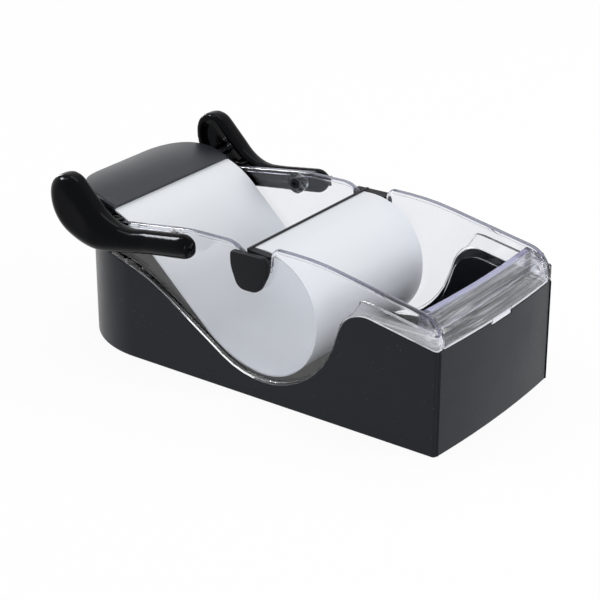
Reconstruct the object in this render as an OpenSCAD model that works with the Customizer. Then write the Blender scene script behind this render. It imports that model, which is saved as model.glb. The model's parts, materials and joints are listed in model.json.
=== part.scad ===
// Rice roll maker: a black tub, two clear side walls with a clear front bar,
// a white flexible sheet that hangs in a loop, a bar lying across the walls in
// two notches, and a lever of two grip arms and a cover plate.
// X runs from the lever end to the front, Y across, Z up. The origin is the
// middle of the footprint, on the table. "Near" is the -Y side.

/* [Base tub] */
// Overall length of the tub
base_l = 250; // [230:1:280]
// Overall width of the tub
base_w = 110; // [90:1:140]
// Height of the rim at the two ends
base_h = 57; // [50:1:66]
// Thickness of the tub's walls
base_wall = 2.2; // [1.5:0.1:3.5]
// Thickness of the tub's floor
floor_t = 2.4; // [1.5:0.1:5]
// How far the front face bows out at its middle
front_bulge = 2.5; // [1:0.1:5]
// Radius of the two front corners, seen from above
corner_r = 2; // [1:0.1:6]
// Height of the hump on the side walls above the rim
hump_rise = 9.2; // [4:0.1:14]
// Radius on top of the hump
hump_r = 16; // [6:0.5:18]

/* [Bay in the side walls] */
// Place of the lowest point of the bay along the tub
bay_x = 17; // [5:0.5:25]
// Height of the lowest point of the bay
bay_low = 10.6; // [7:0.1:18]
// Radius of the bottom of the bay
bay_r = 47; // [40:0.5:52]
// Steepness of the long slope behind the bay, in degrees
slope_deg = 32.5; // [28:0.5:38]
// Steepness of the short rise in front of the bay, in degrees
rise_deg = 72.6; // [66:0.2:78]
// Radius where the slope leaves the rear rim
shoulder_r = 85; // [40:1:100]

/* [Clear side walls] */
// Thickness of a side wall
wall_t = 2; // [1.4:0.1:3]
// How far a side wall reaches down inside the tub below the edge of the bay
wall_lap = 5; // [3:0.5:8]
// Height of the bead that runs along the top edge
rail_h = 2.6; // [1.5:0.1:4]
// How far the bead stands proud of the wall on each side
rail_proud = 0.5; // [0.2:0.1:0.6]
// Height of the top edge above the rim at its rear end
rail_rear_rise = 18.2; // [16:0.1:22]
// Height of the top edge above the rim behind the notch
rail_mid_rise = 26.6; // [24:0.1:30]
// Height of the top edge above the rim in front of the notch
rail_crown_rise = 28.6; // [26:0.1:32]
// Height of the shoulder above the front rim
rail_front_rise = 15.2; // [12:0.1:18]
// Length of the rear end of a side wall that stands on the rim, not inside the tub
rear_foot = 10.6; // [10.6:0.1:16]
// Radius of the shoulder at the front
rail_front_r = 14; // [10:0.5:15]
// Height of the lip with which a side wall sits on the tub's edge
lip_h = 1.4; // [0.8:0.1:2.4]
// Height of the flange that the lip grows into in front of the bay
flange_h = 8; // [5:0.1:9]
// Height of the flange at the rear end of a side wall
rear_flange_h = 3; // [1.5:0.1:5]
// Length of that flange
rear_flange_l = 21; // [12:0.5:26]

/* [Notch and bar] */
// Place of the rear edge of the notch
notch_x = 7; // [2:0.5:12]
// Width of the notch
notch_w = 14.7; // [10:0.1:18]
// Height of the bottom of the notch above the rim
notch_rise = 17; // [14:0.5:19]
// Radius of the notch's two lower corners
notch_r = 1.5; // [0.5:0.1:3]
// Thickness of the blade that spans between the walls
blade_t = 1.6; // [1.4:0.1:3]
// Height of the top of the blade above the rim
blade_rise = 25.2; // [23.5:0.1:27]
// Depth of the blade
blade_d = 7.6; // [6.4:0.1:10]
// Thickness of the shield on each end
cap_t = 3.4; // [1.8:0.1:3.5]
// Width of the shield
cap_w = 24.2; // [20:0.1:28]
// Height of the shield
cap_h = 20.9; // [18:0.1:24]
// Rounding of the shield's outer edge
cap_edge_r = 0.8; // [0.4:0.1:1.2]

/* [Front bar] */
// Depth of the hollow front bar from its front to its rear edge
bar_d = 14; // [12:0.5:20]
// Thickness of the skin of the front bar
bar_skin = 2.2; // [1.5:0.1:3]
// Radius of the rounded front of the bar
bar_r = 13; // [9:0.5:14]
// How far the rear web leans backwards over its height
bar_lean = 2; // [1:0.5:6]
// Width of the tab that drops into the front rim
tab_w = 18; // [10:1:30]
// Depth of that tab
tab_h = 1.8; // [1:0.1:3]
// Radius of the pegs that join the bar to the side walls
peg_r = 2; // [1.2:0.1:2.6]

/* [Sheet] */
// Thickness of the sheet
sheet_t = 0.8; // [0.5:0.1:1]
// Radius of the loop in which the sheet hangs, at mid thickness
loop_r = 33.2; // [30:0.1:33.8]
// How far the top of the sheet lies below the top of the blade
hood_drop = 1.2; // [1:0.1:2.6]
// Straight stretch between the lower and the upper half of the loop
loop_flat = 2.4; // [0.4:0.1:4]
// How far in front of the blade the middle of the loop lies
loop_lead = 5; // [1:0.5:6]
// Where the loop runs over into the wide bend, in degrees from the front
loop_end_deg = 262; // [255:1:268]
// Radius of the wide bend between the loop and the slope
trough_r = 59; // [45:1:70]
// Steepness of the sheet on the slope, in degrees
sheet_deg = 43; // [40:0.5:46]
// Radius of the convex bend below the lever cover
crown_r = 46; // [20:1:50]

/* [Lever] */
// Place of the pivot along the tub
pivot_x = -39; // [-44:0.1:-36]
// Height of the pivot above the rim
pivot_rise = 17.6; // [15:0.1:18]
// Radius of the pivot pins
pivot_r = 3; // [2:0.1:3.6]
// Radius of the round boss on each side wall
boss_r = 5.8; // [4.6:0.1:6.5]
// Thickness of the arms at the pivot
arm_t = 7.5; // [6.8:0.1:9]
// Thickness of the grips
grip_t = 13; // [10:0.5:15]
// Rounding of the arms' edges
arm_edge_r = 3; // [1.5:0.1:3.6]
// Length of the arm in front of the pivot
arm_stub = 16.2; // [14:0.1:22]
// Height of the stub
arm_stub_h = 12.1; // [11:0.1:13]
// Reach of the arm behind the pivot, to the back of the grip
arm_reach = 74.3; // [70:0.1:78]
// Height of the top of the grip above the pivot
grip_rise = 25.5; // [22:0.5:28]
// Depth of the dish in the inner face of each arm
dish_d = 1.6; // [0.8:0.1:2.4]
// Width of the rim round that dish
dish_rim = 3.4; // [2.5:0.1:5]

/* [Lever cover] */
// Distance from the pivot back to the cover's front edge
cover_near = 45.6; // [42:0.1:50]
// Length of the cover
cover_l = 38.6; // [30:0.1:40]
// Width of the cover
cover_w = 99; // [84:1:101]
// Height of the cover's front edge above the pivot
cover_rise = 7.4; // [6.5:0.1:12]
// Slope at which the cover rises from its front edge, in degrees
cover_deg = 17.5; // [10:0.5:22]
// Height of the point where the front and rear slopes of the cover would meet
cover_peak = 7.4; // [5:0.1:9]
// Radius of the arch between the two slopes
cover_arch_r = 60; // [30:1:70]
// Thickness of the cover
cover_t = 2; // [1.2:0.1:3]
// Depth of the skirt at the back of the cover
skirt_h = 13; // [8:0.5:18]
// Radius of the cover's two rear corners, seen from above
cover_corner_r = 30; // [15:1:40]
// Radius of the steel pegs between the cover and the arms
cover_peg_r = 2; // [1.2:0.1:2.5]
// How deep the pegs go into the cover and the arms
peg_grip = 4; // [2:0.5:5]
// Place of the front pegs behind the cover's front edge
peg_front = 9.5; // [9:0.5:12]
// Distance between the front pegs and the rear pegs
peg_pitch = 11; // [8:0.5:16]
// Width of the clamp strip that holds the sheet under the cover
clamp_w = 5; // [3:0.5:8]
// Thickness of the clamp strip
clamp_t = 1.8; // [1:0.1:3]

/* [Fits] */
// Gap between a clear wall and the tub beside it
fit_gap = 0.2; // [0.1:0.05:0.4]
// Gap between two pieces that sit on each other
seat_gap = 0.05; // [0.02:0.01:0.2]
// Running clearance of the pivot pins in their bosses, on the radius
run_gap = 0.06; // [0.02:0.01:0.1]
// Gap between the edges of the sheet and the side walls
edge_gap = 2; // [1:0.1:3]
// Gap between the tub's sides and the lever arms
arm_gap = 2; // [1.8:0.1:4]
// Gap between the pieces that slide past each other
side_gap = 0.3; // [0.15:0.05:0.5]

/* [Hidden] */
$fn = 64;
tiny = 0.01;

half_w = base_w / 2;
rear_x = -base_l / 2;
front_x = base_l / 2;
corner_x = front_x - front_bulge;
round_x = rear_x + half_w;
front_face_r = half_w * half_w / (2 * front_bulge) + front_bulge / 2;
rim_z = base_h;
pivot_z = rim_z + pivot_rise;
notch_z = rim_z + notch_rise;
blade_top_z = rim_z + blade_rise;
rail_rear_z = rim_z + rail_rear_rise;
rail_mid_z = rim_z + rail_mid_rise;
rail_crown_z = rim_z + rail_crown_rise;

// Positions across, from the middle outwards
wall_out = half_w - base_wall - fit_gap;
wall_in = wall_out - wall_t;
sheet_half = wall_in - edge_gap;
rail_out = wall_out + rail_proud;
cap_in = rail_out + side_gap;
cap_out = cap_in + cap_t;
arm_in = half_w + arm_gap;
arm_out = arm_in + grip_t;
boss_in = wall_in - 0.6;
boss_out = arm_in - 0.6;

// ---------------------------------------------------------------- helpers

function unit(v) = v / norm(v);
function turn_of(a) = ((a + 540) % 360) - 180;
function arc(c, r, a0, a1, steps) =
    [for (i = [0:steps]) let (a = a0 + (a1 - a0) * i / steps) c + r * [cos(a), sin(a)]];

// The round corner at q between p and s
function fillet(p, q, s, r) =
    let (u = unit(p - q), v = unit(s - q), half = acos(u * v) / 2)
    let (c = q + unit(u + v) * r / sin(half))
    let (from = q + u * r / tan(half) - c, to = q + v * r / tan(half) - c)
    let (a0 = atan2(from[1], from[0]), turn = turn_of(atan2(to[1], to[0]) - a0))
    arc(c, r, a0, a0 + turn, max(3, ceil(abs(turn) / 9)));

function xy(v) = [v[0], v[1]];

// An open line through corners [x, y, radius]
function rounded(line) =
    [for (i = [0:len(line) - 1])
        each (i == 0 || i == len(line) - 1 || line[i][2] == 0)
            ? [xy(line[i])]
            : fillet(xy(line[i - 1]), xy(line[i]), xy(line[i + 1]), line[i][2])];

// A closed outline through corners [x, y, radius]
function rounded_loop(line) =
    let (n = len(line))
    [for (i = [0:n - 1])
        each line[i][2] == 0
            ? [xy(line[i])]
            : fillet(xy(line[(i + n - 1) % n]), xy(line[i]), xy(line[(i + 1) % n]), line[i][2])];

// Extrudes a side view (X across the page, Z up) from y0 to y1
module slab(y0, y1) {
    translate([0, y1, 0]) rotate([90, 0, 0]) linear_extrude(y1 - y0) children();
}

module rod(x, z, r, y0, y1) {
    slab(y0, y1) translate([x, z]) circle(r);
}

// Turns a piece of the far side into the matching piece of the near side
module mirrored() {
    mirror([0, 1, 0]) children();
}

module both_sides() {
    children();
    mirror([0, 1, 0]) children();
}

// --------------------------------------------------------------- base tub

// Corner at which the slope and the rise of the bay would meet
bay_c = [bay_x, bay_low + bay_r];
bay_half = (slope_deg + rise_deg) / 2;
bay_lean = 270 + (rise_deg - slope_deg) / 2;
bay_corner = bay_c + bay_r / cos(bay_half) * [cos(bay_lean), sin(bay_lean)];
front_seat_x = corner_x - base_wall - fit_gap;
shoulder = [bay_corner[0] - (rim_z - bay_corner[1]) / tan(slope_deg), rim_z];
hump_z = rim_z + hump_rise;
hump = [bay_corner[0] + (hump_z - bay_corner[1]) / tan(rise_deg), hump_z];

// The rim of the tub seen from the side
rim_line = rounded([
    [rear_x - 1, rim_z, 0],
    [shoulder[0], shoulder[1], shoulder_r],
    [bay_corner[0], bay_corner[1], bay_r],
    [hump[0], hump[1], hump_r],
    [front_seat_x, rim_z, 0],
    [front_x + 1, rim_z, 0]
]);

module below_rim(drop = 0) {
    translate([0, -drop])
        polygon(concat([[rear_x - 1, -50]], rim_line, [[front_x + 1, -50]]));
}

module base_plan(inset) {
    r = max(corner_r - inset, 0.4);
    w = half_w - inset;
    intersection() {
        union() {
            translate([round_x, 0]) circle(w, $fn = 128);
            translate([round_x, -w]) square([corner_x - corner_r - round_x, 2 * w]);
            translate([round_x, r - w]) square([front_x - round_x, 2 * (w - r)]);
            for (side = [-1, 1])
                translate([corner_x - corner_r, side * (w - r)]) circle(r);
        }
        translate([front_x - front_face_r, 0]) circle(front_face_r - inset, $fn = 256);
    }
}

module base_tub() {
    color("#232428") difference() {
        intersection() {
            linear_extrude(hump_z + 1) base_plan(0);
            slab(-half_w - 1, half_w + 1) below_rim();
        }
        translate([0, 0, floor_t]) linear_extrude(hump_z) base_plan(base_wall);
        // Seat of the front bar's tab
        translate([corner_x - base_wall, -tab_w / 2 - fit_gap, rim_z - tab_h - seat_gap])
            cube([3 * base_wall, tab_w + 2 * fit_gap, 2 * tab_h]);
    }
}

// ------------------------------------------------------- clear side walls

notch_end = notch_x + notch_w;
wall_rear_x = pivot_x - cover_near - 0.4;
rail_bend_x = pivot_x + 8.4;
wall_front_x = corner_x - 0.2;

// The top edge of a side wall seen from the side
rail_line = rounded([
    [wall_rear_x, rail_rear_z, 0],
    [rail_bend_x, rail_mid_z - 0.4, 120],
    [notch_x - 4, rail_mid_z + 0.2, 14],
    [notch_x, notch_z, notch_r],
    [notch_end, notch_z, notch_r],
    [notch_end + 0.5, rail_crown_z, 5],
    [notch_end + 28, rail_crown_z, 150],
    [wall_front_x, rim_z + rail_front_rise, rail_front_r],
    [wall_front_x, rim_z + seat_gap, 0]
]);

module wall_sheet() {
    difference() {
        polygon(concat(rail_line, [
            [front_seat_x - fit_gap, rim_z + seat_gap],
            [front_seat_x - fit_gap, 0],
            [wall_rear_x + 3 * rear_foot, 0],
            [wall_rear_x + 1.5 * rear_foot, rim_z - 0.75 * rear_foot],
            [wall_rear_x + rear_foot, rim_z - base_wall],
            [wall_rear_x, rim_z - base_wall]
        ]));
        below_rim(wall_lap);
        intersection() {
            below_rim(-seat_gap);
            translate([wall_rear_x - 1, 0]) square([rear_foot + 1, 2 * base_h]);
        }
    }
}

// The rounded bead along the top edge, down to the shoulder at the front
module wall_bead() {
    difference() {
        intersection() {
            wall_sheet();
            translate([wall_rear_x, rim_z + 3]) square(base_l);
        }
        translate([0, -rail_h])
            polygon(concat(rail_line, [[wall_front_x, -50], [wall_rear_x, -50]]));
    }
}

// A band of height h on the tub's edge; its rear end leans by the given length
module flange_band(x0, x1, h, lean = 0) {
    intersection() {
        linear_extrude(2 * base_h) base_plan(0);
        slab(wall_out - tiny, half_w) intersection() {
            difference() {
                below_rim(-h);
                below_rim(-seat_gap);
            }
            polygon([[x0, 0], [x1, 0], [x1, 2 * base_h], [x0 + lean, 2 * base_h],
                [x0 + lean, hump_z + h / 2], [x0, hump_z - h]]);
        }
    }
}

module side_wall() {
    color([0.86, 0.89, 0.96, 0.35]) difference() {
        union() {
            slab(wall_in, wall_out) wall_sheet();
            slab(wall_in - rail_proud, rail_out) wall_bead();
            flange_band(wall_rear_x + 1, wall_front_x, lip_h);
            flange_band(hump[0], wall_front_x, flange_h, flange_h);
            flange_band(wall_rear_x + 1, wall_rear_x + 1 + rear_flange_l, rear_flange_h);
            // Boss round the pivot
            rod(pivot_x, pivot_z, boss_r, boss_in, boss_out);
        }
        rod(pivot_x, pivot_z, pivot_r + run_gap, boss_in - 1, boss_out + 1);
        rod(peg_x, peg_z, peg_r + run_gap, wall_in - 2, wall_out + 1);
    }
}

module side_wall_near() {
    mirrored() side_wall();
}

module side_wall_far() {
    side_wall();
}

// ---------------------------------------------------------- clear front bar

bar_rear_x = front_x - bar_d;
bar_top_z = rim_z + rail_front_rise + 1.4;
peg_x = corner_x - 6;
peg_z = rim_z + 6.4;
bar_end = wall_in - rail_proud - fit_gap;

// Section of the bar where it is furthest forward, inset by the skin
module bar_section(inset, drop = 0) {
    foot = rim_z + seat_gap - drop;
    polygon(rounded_loop([
        [front_x - inset, foot, 0],
        [front_x - inset, bar_top_z - 2.4 - inset, bar_r - inset],
        [bar_rear_x + inset, bar_top_z - inset, 1],
        [bar_rear_x - bar_lean + inset, foot, 0]
    ]));
}

// Turns a section about the far-off centre of the bowed front face
module bowed(y0, y1) {
    intersection() {
        translate([front_x - front_face_r, 0, 0])
            rotate([0, 0, -10]) rotate_extrude(angle = 20, $fn = 256)
                translate([front_face_r - front_x, 0]) children();
        translate([0, y0, 0]) cube([base_l, y1 - y0, 3 * base_h]);
    }
}

module front_bar() {
    color([0.80, 0.82, 0.95, 0.4]) difference() {
        union() {
            bowed(-bar_end, bar_end) difference() {
                bar_section(0);
                bar_section(bar_skin, 1);
            }
            both_sides() bowed(bar_end - bar_skin, bar_end) bar_section(bar_skin - 0.1);
            // Tab in the middle of the front edge
            bowed(-tab_w / 2, tab_w / 2)
                translate([front_x - base_wall, rim_z - tab_h]) square([base_wall, tab_h + 1]);
        }
        both_sides() rod(peg_x, peg_z, peg_r + run_gap, bar_end - 3 * bar_skin, bar_end + 1);
    }
}

module front_bar_pegs() {
    color([0.9, 0.92, 0.96, 0.6])
        both_sides() rod(peg_x, peg_z, peg_r, bar_end - 2 * bar_skin, wall_out);
}

// ------------------------------------------------------------------- sheet

cover_x = pivot_x - cover_near;
cover_z = pivot_z + cover_rise;
blade_x = notch_x + fit_gap;
slot_d = 0.6 * blade_t;
hood_x = blade_x + blade_t;
hood_z = blade_top_z - hood_drop;
// The loop hangs from the bar, in whose slot its top ends
loop_c = [hood_x + loop_lead, hood_z - loop_r - loop_flat];

// The wide bend touches the loop and runs on into the slope
trough_c = loop_c + (loop_r - trough_r) * [cos(loop_end_deg), sin(loop_end_deg)];
slope_a = 270 - sheet_deg;
slope_low = trough_c + trough_r * [cos(slope_a), sin(slope_a)];
slope_split = slope_low + 22 * [-cos(sheet_deg), sin(sheet_deg)];

// Under the cover the sheet lies along the cover's own slope
sheet_drop = (cover_t + seat_gap + sheet_t / 2) / cos(cover_deg);
sheet_tip = [cover_x - clamp_w - 1, cover_z - sheet_drop + (clamp_w + 1) * tan(cover_deg)];
crown_x = (slope_low[1] + slope_low[0] * tan(sheet_deg) - sheet_tip[1] - sheet_tip[0] * tan(cover_deg))
    / (tan(sheet_deg) - tan(cover_deg));
crown_corner = [crown_x, sheet_tip[1] - (crown_x - sheet_tip[0]) * tan(cover_deg)];

slope_line = rounded([
    [sheet_tip[0], sheet_tip[1], 0],
    [crown_corner[0], crown_corner[1], crown_r],
    [slope_split[0], slope_split[1], 0]
]);
loop_split = loop_c + [loop_r, loop_flat / 2];
trough_line = concat(
    [slope_split],
    arc(trough_c, trough_r, slope_a, loop_end_deg, 8),
    arc(loop_c, loop_r, loop_end_deg + 6, 360, 16),
    [loop_split]);
hood_line = concat(
    [loop_split],
    arc(loop_c + [0, loop_flat], loop_r, 360, 450, 14),
    [[hood_x - slot_d + fit_gap, hood_z]]);

function across(line, i) =
    let (a = line[max(i - 1, 0)], b = line[min(i + 1, len(line) - 1)], d = unit(b - a))
    [-d[1], d[0]];
function beside(line, off) = [for (i = [0:len(line) - 1]) line[i] + across(line, i) * off];
function reversed(line) = [for (i = [len(line) - 1:-1:0]) line[i]];

module strip(line) {
    color("#e6eaf0") slab(-sheet_half, sheet_half)
        polygon(concat(beside(line, sheet_t / 2), reversed(beside(line, -sheet_t / 2))));
}

module sheet_slope() {
    strip(slope_line);
}

module sheet_trough() {
    strip(trough_line);
}

module sheet_hood() {
    strip(hood_line);
}

// --------------------------------------------------------------------- bar

block_x1 = notch_end - fit_gap;
block_z0 = notch_z + seat_gap;

module bar_blade() {
    color("#202124") difference() {
        union() {
            slab(-cap_in, cap_in)
                translate([blade_x, blade_top_z - blade_d]) square([blade_t, blade_d]);
            both_sides() slab(sheet_half + side_gap, cap_in) polygon(rounded_loop([
                [blade_x, block_z0, notch_r + fit_gap],
                [block_x1, block_z0, notch_r + fit_gap],
                [block_x1, blade_top_z - blade_t, 0],
                [blade_x + blade_t, blade_top_z - blade_t / 3, 0],
                [blade_x, blade_top_z - blade_t / 3, 0]
            ]));
        }
        // Slot that grips the end of the sheet
        slab(-sheet_half - fit_gap, sheet_half + fit_gap)
            translate([hood_x - slot_d, hood_z - sheet_t / 2 - seat_gap])
                square([2 * slot_d, sheet_t + 2 * seat_gap]);
    }
}

cap_x = notch_x - 8.5;
cap_top_z = blade_top_z - 1.3;
cap_outline = rounded_loop([
    [cap_x, cap_top_z - 0.5, 2.5],
    [cap_x + cap_w, cap_top_z, 4],
    [cap_x + 0.99 * cap_w, cap_top_z - 0.43 * cap_h, 14],
    [cap_x + 0.745 * cap_w, cap_top_z - cap_h, 8],
    [cap_x + 0.195 * cap_w, cap_top_z - cap_h, 6.5],
    [cap_x, cap_top_z - 0.43 * cap_h, 20]
]);

module bar_cap() {
    color("#1c1d20") {
        slab(cap_in + tiny, cap_out - cap_edge_r) polygon(cap_outline);
        slab(cap_out - cap_edge_r - tiny, cap_out) offset(delta = -cap_edge_r) polygon(cap_outline);
    }
}

module bar_cap_near() {
    mirrored() bar_cap();
}

module bar_cap_far() {
    bar_cap();
}

// ------------------------------------------------------------------- lever

stub_x = pivot_x + arm_stub;
stub_top = pivot_z + arm_stub_h / 2 + 2.35;
stub_low = stub_top - arm_stub_h;
grip_x = pivot_x - arm_reach;
grip_top = pivot_z + grip_rise;

// Outline of an arm with its upturned grip, seen from the side
arm_outline = rounded_loop([
    [stub_x, stub_top, arm_stub_h / 2 - 0.1],
    [grip_x + 38.4, stub_top - 7.9, 27],
    [grip_x, grip_top + 15.3, 10],
    [grip_x, grip_top - 22.7, 16],
    [grip_x + 25.4, stub_low - 8, 30],
    [stub_x, stub_low, arm_stub_h / 2 - 0.1]
]);
arm_step = (grip_t - arm_t) / 2;

// The arm seen from above: slim along the stub, thicker at the grip; inset on all sides
module arm_plan(inset) {
    polygon([
        [stub_x + 1, arm_in + inset],
        [stub_x + 1, arm_in + arm_t - inset],
        [pivot_x - 14, arm_in + arm_t - inset],
        [pivot_x - 30, arm_in + arm_t + arm_step - inset],
        [pivot_x - 46, arm_in + grip_t - inset],
        [grip_x - 1, arm_in + grip_t - inset],
        [grip_x - 1, arm_in + inset]
    ]);
}

// The arm's lug rests on the rear end of the rail
rail_slope = (rail_mid_z - 0.4 - rail_rear_z) / (rail_bend_x - wall_rear_x);
lug_x = wall_rear_x + 3;
lug_l = 6;
lug_h = 2.6;
lug_z = rail_rear_z + (lug_x - wall_rear_x) * rail_slope + seat_gap;
cover_edge_z = cover_z - 5;
cover_peg_at = [
    [cover_x - peg_front, cover_edge_z + cover_t + peg_pitch / 8],
    [cover_x - peg_front - peg_pitch, cover_edge_z + peg_pitch / 8]
];

pin_end = arm_in + peg_grip;

module lever_arm() {
    color("#131417") difference() {
        minkowski() {
            intersection() {
                slab(arm_in, arm_out) offset(delta = -arm_edge_r) polygon(arm_outline);
                linear_extrude(3 * base_h) arm_plan(arm_edge_r);
            }
            sphere(arm_edge_r, $fn = 16);
        }
        slab(arm_in - 1, arm_in + dish_d) offset(delta = -dish_rim - 1) polygon(arm_outline);
        rod(pivot_x, pivot_z, pivot_r, arm_in - 1, pin_end);
        for (p = cover_peg_at) rod(p[0], p[1], cover_peg_r, arm_in - 1, arm_in + peg_grip);
    }
    color("#131417") slab(wall_in, arm_in + dish_d + 0.5) translate([lug_x, lug_z])
        polygon([[0, 0], [lug_l, lug_l * rail_slope], [lug_l, lug_h], [0, lug_h]]);
}

module lever_arm_near() {
    mirrored() lever_arm();
}

module lever_arm_far() {
    lever_arm();
}

// The cover seen from the side; its lower edge is cut later
cover_back = cover_x - cover_l;
cover_ridge = [cover_x - cover_peak / tan(cover_deg), cover_z + cover_peak];
module cover_profile(inset) {
    drop = inset / cos(cover_deg);
    polygon(concat(
        [[cover_x + 8, 0]],
        rounded([
            [cover_x + 8, cover_z - 8 * tan(cover_deg) - drop, 0],
            [cover_ridge[0], cover_ridge[1] - drop, cover_arch_r - inset],
            [cover_back - 4, cover_z + 2 - drop, 0]
        ]),
        [[cover_back - 4, 0]]));
}

// Plan of the cover, rounded at the back; "open" carries it on past the front edge
module cover_plan(inset, open) {
    w = cover_w / 2 - inset;
    r = cover_corner_r - inset;
    l = cover_l - inset + open;
    translate([cover_back + inset, 0]) intersection() {
        union() {
            translate([r, -w]) square([l, 2 * w]);
            translate([0, r - w]) square([l, 2 * (w - r)]);
            for (side = [-1, 1]) translate([r, side * (w - r)]) circle(r);
        }
        translate([-1, -w]) square([l + 1, 2 * w]);
    }
}

module lever_cover() {
    skirt_z = cover_z - skirt_h;
    past = cover_l / 4;
    color("#2b2d31") difference() {
        intersection() {
            slab(-cover_w, cover_w) cover_profile(0);
            linear_extrude(3 * base_h) cover_plan(0, 0);
        }
        intersection() {
            slab(-cover_w, cover_w) cover_profile(cover_t);
            linear_extrude(3 * base_h) {
                cover_plan(cover_t, cover_t);
                // No side skirts where the sheet is clamped under the front edge
                translate([sheet_tip[0] - fit_gap, -cover_w]) square([2 * clamp_w, 2 * cover_w]);
            }
        }
        // Lower edge of the skirt, deepest at the back
        slab(-cover_w, cover_w) polygon([
            [cover_x + past, 0],
            [cover_x + past, cover_edge_z],
            [cover_x - cover_l / 10, cover_edge_z],
            [cover_back + cover_l / 5, skirt_z],
            [cover_back - past, skirt_z],
            [cover_back - past, 0]
        ]);
        both_sides() for (p = cover_peg_at)
            rod(p[0], p[1], cover_peg_r, cover_w / 2 - peg_grip, cover_w);
    }
}

module cover_pegs() {
    color("silver") both_sides() for (p = cover_peg_at)
        rod(p[0], p[1], cover_peg_r, cover_w / 2 - peg_grip, arm_in + peg_grip);
}

// Strip that clamps the end of the sheet against the underside of the cover
module sheet_clamp() {
    half = cover_w / 2 - 3 * cover_t;
    color("#1c1d20") slab(-half, half)
        translate([cover_x, cover_z - sheet_drop]) rotate(-cover_deg)
            translate([-clamp_w, -sheet_t / 2 - seat_gap - clamp_t]) square([clamp_w, clamp_t]);
}

module pivot_pin() {
    color("#17181b") difference() {
        rod(pivot_x, pivot_z, pivot_r, boss_in, pin_end);
        // Dimple in the inner end
        rod(pivot_x, pivot_z, 0.4 * pivot_r, boss_in - 1, boss_in + 1);
    }
}

module pivot_pin_near() {
    mirrored() pivot_pin();
}

module pivot_pin_far() {
    pivot_pin();
}

base_tub();
side_wall_near();
side_wall_far();
front_bar();
front_bar_pegs();
sheet_slope();
sheet_trough();
sheet_hood();
bar_blade();
bar_cap_near();
bar_cap_far();
lever_arm_near();
lever_arm_far();
lever_cover();
cover_pegs();
sheet_clamp();
pivot_pin_near();
pivot_pin_far();
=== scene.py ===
# %% [markdown]
# # A table-top rice roll maker
# A black tub carries two clear side walls and a clear front bar. A white
# flexible sheet hangs in a loop from a black bar that lies across the walls,
# and its other end is clamped under the cover of a two-grip lever. The packed
# model is the fixed frame, and this script gives it its looks.

# %% Load the frame
import json
import math

import bpy
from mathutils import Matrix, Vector

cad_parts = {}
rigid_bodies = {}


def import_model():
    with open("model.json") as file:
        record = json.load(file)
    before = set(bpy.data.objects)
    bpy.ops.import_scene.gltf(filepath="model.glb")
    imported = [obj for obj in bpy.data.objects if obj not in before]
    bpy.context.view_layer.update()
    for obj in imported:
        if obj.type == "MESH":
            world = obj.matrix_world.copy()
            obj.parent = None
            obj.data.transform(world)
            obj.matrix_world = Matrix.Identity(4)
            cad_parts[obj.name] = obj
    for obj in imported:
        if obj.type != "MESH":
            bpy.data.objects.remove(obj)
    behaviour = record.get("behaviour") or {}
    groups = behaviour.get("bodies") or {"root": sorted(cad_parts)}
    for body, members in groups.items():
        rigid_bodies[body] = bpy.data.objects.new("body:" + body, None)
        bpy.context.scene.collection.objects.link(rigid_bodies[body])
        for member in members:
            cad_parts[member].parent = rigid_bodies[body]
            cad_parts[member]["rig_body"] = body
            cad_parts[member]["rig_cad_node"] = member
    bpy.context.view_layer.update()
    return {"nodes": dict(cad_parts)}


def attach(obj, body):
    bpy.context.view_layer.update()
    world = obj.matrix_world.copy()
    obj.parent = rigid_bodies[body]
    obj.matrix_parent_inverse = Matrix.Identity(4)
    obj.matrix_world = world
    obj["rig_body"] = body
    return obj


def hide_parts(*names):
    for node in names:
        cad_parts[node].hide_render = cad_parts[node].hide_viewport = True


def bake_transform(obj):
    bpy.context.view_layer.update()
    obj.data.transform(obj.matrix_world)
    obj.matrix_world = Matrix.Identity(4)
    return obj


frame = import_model()
print("frame loaded, nodes:", len(frame["nodes"]))

# %% [markdown]
# ## Sizes
# All sizes are the frame's own, in millimetres, and one small function turns
# them into metres. An outline is a list of corners, each with its rounding,
# because that is how the real parts were drawn: straight runs joined by arcs.

# %% Sizes and outlines
def mm(*lengths):
    if len(lengths) == 1:
        return lengths[0] / 1000
    return Vector(length / 1000 for length in lengths)


def arc(centre, radius, start, end, steps):
    points = []
    for i in range(steps + 1):
        angle = math.radians(start + (end - start) * i / steps)
        points.append((centre[0] + radius * math.cos(angle),
                       centre[1] + radius * math.sin(angle)))
    return points


def corner(before, at, after, radius, step):
    """The arc that rounds the corner at a point between its two neighbours."""
    u = (Vector(before[:2]) - Vector(at[:2])).normalized()
    v = (Vector(after[:2]) - Vector(at[:2])).normalized()
    half = u.angle(v) / 2
    centre = Vector(at[:2]) + (u + v).normalized() * radius / math.sin(half)
    first = Vector(at[:2]) + u * radius / math.tan(half) - centre
    last = Vector(at[:2]) + v * radius / math.tan(half) - centre
    a0 = math.degrees(math.atan2(first.y, first.x))
    turn = math.degrees(math.atan2(last.y, last.x)) - a0
    turn = (turn + 540) % 360 - 180
    return arc(centre, radius, a0, a0 + turn, max(3, math.ceil(abs(turn) / step)))


def rounded(corners, closed=True, step=6):
    """An outline from corners (X, Z, radius), with an arc point every few degrees."""
    points = []
    for i, at in enumerate(corners):
        ends = not closed and i in (0, len(corners) - 1)
        if ends or at[2] == 0:
            points.append(tuple(at[:2]))
        else:
            points += corner(corners[i - 1], at, corners[(i + 1) % len(corners)], at[2], step)
    return points


tub_half, tub_front, rim = 55.0, 125.0, 57.0
wall_mid = 51.6  # the middle of a clear wall's thickness, across
pivot = (-39.0, 74.6)
cover_front, cover_length, cover_front_z = -84.6, 38.6, 82.0
print("the pivot lies at", pivot, "mm")

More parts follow.
